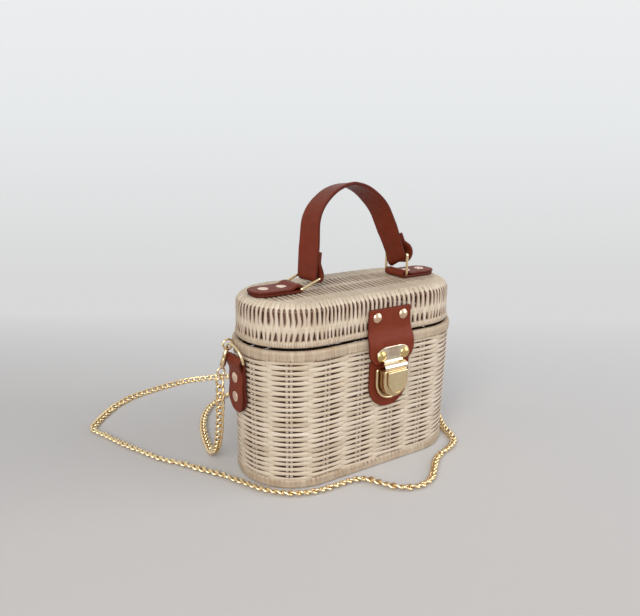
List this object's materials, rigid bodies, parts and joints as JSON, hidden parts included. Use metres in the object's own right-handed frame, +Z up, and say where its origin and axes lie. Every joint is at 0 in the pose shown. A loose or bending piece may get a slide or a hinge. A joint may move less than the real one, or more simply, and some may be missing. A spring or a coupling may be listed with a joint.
{
  "type": "basket box bag",
  "caption": "Small oval woven box bag with a hinged lid, a leather loop handle on wire rings, a press lock on leather and a chain strap on hooks.",
  "frame": {"origin": "middle of the foot rim, on the surface that the bag stands on", "axes": "X along the oval, the clasp side faces -Y, Z up"},
  "size_m": [0.2974, 0.3064, 0.2279],
  "materials": {
    "wicker": "pale whitewashed peeled rods, matt",
    "cane": "pale split cane, matt",
    "leather": "reddish brown, smooth, low sheen",
    "gold_metal": "pale gold plating, polished",
    "rivet_metal": "pale rose gold plating, polished",
    "spring_steel": "plain spring wire",
    "chain_metal": "pale gold plating, polished"
  },
  "bodies": {
    "basket": {"basket_wall": "wicker", "basket_stakes": "cane", "basket_base": "wicker", "basket_rim": "cane", "basket_foot_rim": "cane", "hinge_rings": "gold_metal", "lock_backing": "leather", "lock_case": "gold_metal", "lock_spring": "spring_steel", "lock_back_plate": "gold_metal", "side_tab_left": "leather", "side_tab_right": "leather", "side_rivets": "rivet_metal", "chain_strap": "chain_metal", "hook_body_left": "gold_metal", "hook_body_right": "gold_metal"},
    "lid": {"lid_weave": "wicker", "lid_rim": "cane", "lid_hoop": "cane", "lid_ribs": "cane", "clasp_flap": "leather", "flap_rivets": "rivet_metal", "hasp_plate": "gold_metal", "hasp_rivets": "gold_metal", "handle_tab_left": "leather", "handle_tab_right": "leather", "handle_rivets": "rivet_metal"},
    "thumb_catch": {"lock_thumb_catch": "gold_metal"},
    "ring_left": {"handle_ring_left": "gold_metal"},
    "strap": {"handle_strap": "leather"},
    "ring_right": {"handle_ring_right": "gold_metal"},
    "d_ring_left": {"side_ring_left": "gold_metal"},
    "d_ring_right": {"side_ring_right": "gold_metal"},
    "gate_left": {"hook_gate_left": "gold_metal"},
    "gate_right": {"hook_gate_right": "gold_metal"},
    "swivel_left": {"hook_swivel_left": "gold_metal"},
    "swivel_right": {"hook_swivel_right": "gold_metal"}
  },
  "joints": [
    {"name": "lid_hinge", "type": "hinge", "parent": "basket", "child": "lid", "pos_m": [0, 0.0486, 0.1129], "axis": [-1, 0, 0], "range_deg": [0, 110]},
    {"name": "thumb_press", "type": "slide", "parent": "basket", "child": "thumb_catch", "axis": [0, 0, -1], "range_m": [0, 0.003], "stiffness_N_per_m": 600, "springref_m": -0.001, "deforming": ["lock_spring"]},
    {"name": "handle_sway", "type": "hinge", "parent": "lid", "child": "ring_left", "pos_m": [-0.0525, 0, 0.1503], "axis": [0, -1, 0], "range_deg": [0, 40]},
    {"name": "strap_on_left_ring", "type": "hinge", "parent": "ring_left", "child": "strap", "pos_m": [-0.03581, 0, 0.15704], "axis": [0, -1, 0], "range_deg": [-47, 0]},
    {"name": "right_ring_turn", "type": "hinge", "parent": "lid", "child": "ring_right", "pos_m": [0.0525, 0, 0.1503], "axis": [0, -1, 0], "range_deg": [0, 22]},
    {"name": "d_ring_left_rock", "type": "hinge", "parent": "basket", "child": "d_ring_left", "pos_m": [-0.10283, 0, 0.099], "axis": [0, -1, 0], "range_deg": [-7, 3]},
    {"name": "d_ring_right_rock", "type": "hinge", "parent": "basket", "child": "d_ring_right", "pos_m": [0.10283, 0, 0.099], "axis": [0, 1, 0], "range_deg": [-7, 3]},
    {"name": "gate_left_open", "type": "hinge", "parent": "basket", "child": "gate_left", "pos_m": [-0.10796, 0.008, 0.10704], "axis": [0, 1, 0], "range_deg": [0, 16], "stiffness_Nm_per_rad": 0.02, "springref_deg": -17.19},
    {"name": "gate_right_open", "type": "hinge", "parent": "basket", "child": "gate_right", "pos_m": [0.10796, 0.008, 0.10704], "axis": [0, -1, 0], "range_deg": [0, 16], "stiffness_Nm_per_rad": 0.02, "springref_deg": -17.19},
    {"name": "swivel_left_spin", "type": "hinge", "parent": "basket", "child": "swivel_left", "pos_m": [-0.10511, 0.008, 0.1097], "axis": [-0.2924, 0, -0.9563], "continuous": true},
    {"name": "swivel_right_spin", "type": "hinge", "parent": "basket", "child": "swivel_right", "pos_m": [0.10511, 0.008, 0.1097], "axis": [0.2924, 0, -0.9563], "continuous": true}
  ],
  "couplings": [
    {"joint": "strap_on_left_ring", "follows": "handle_sway", "ratio": -1.165},
    {"joint": "right_ring_turn", "follows": "handle_sway", "ratio": 0.54}
  ]
}
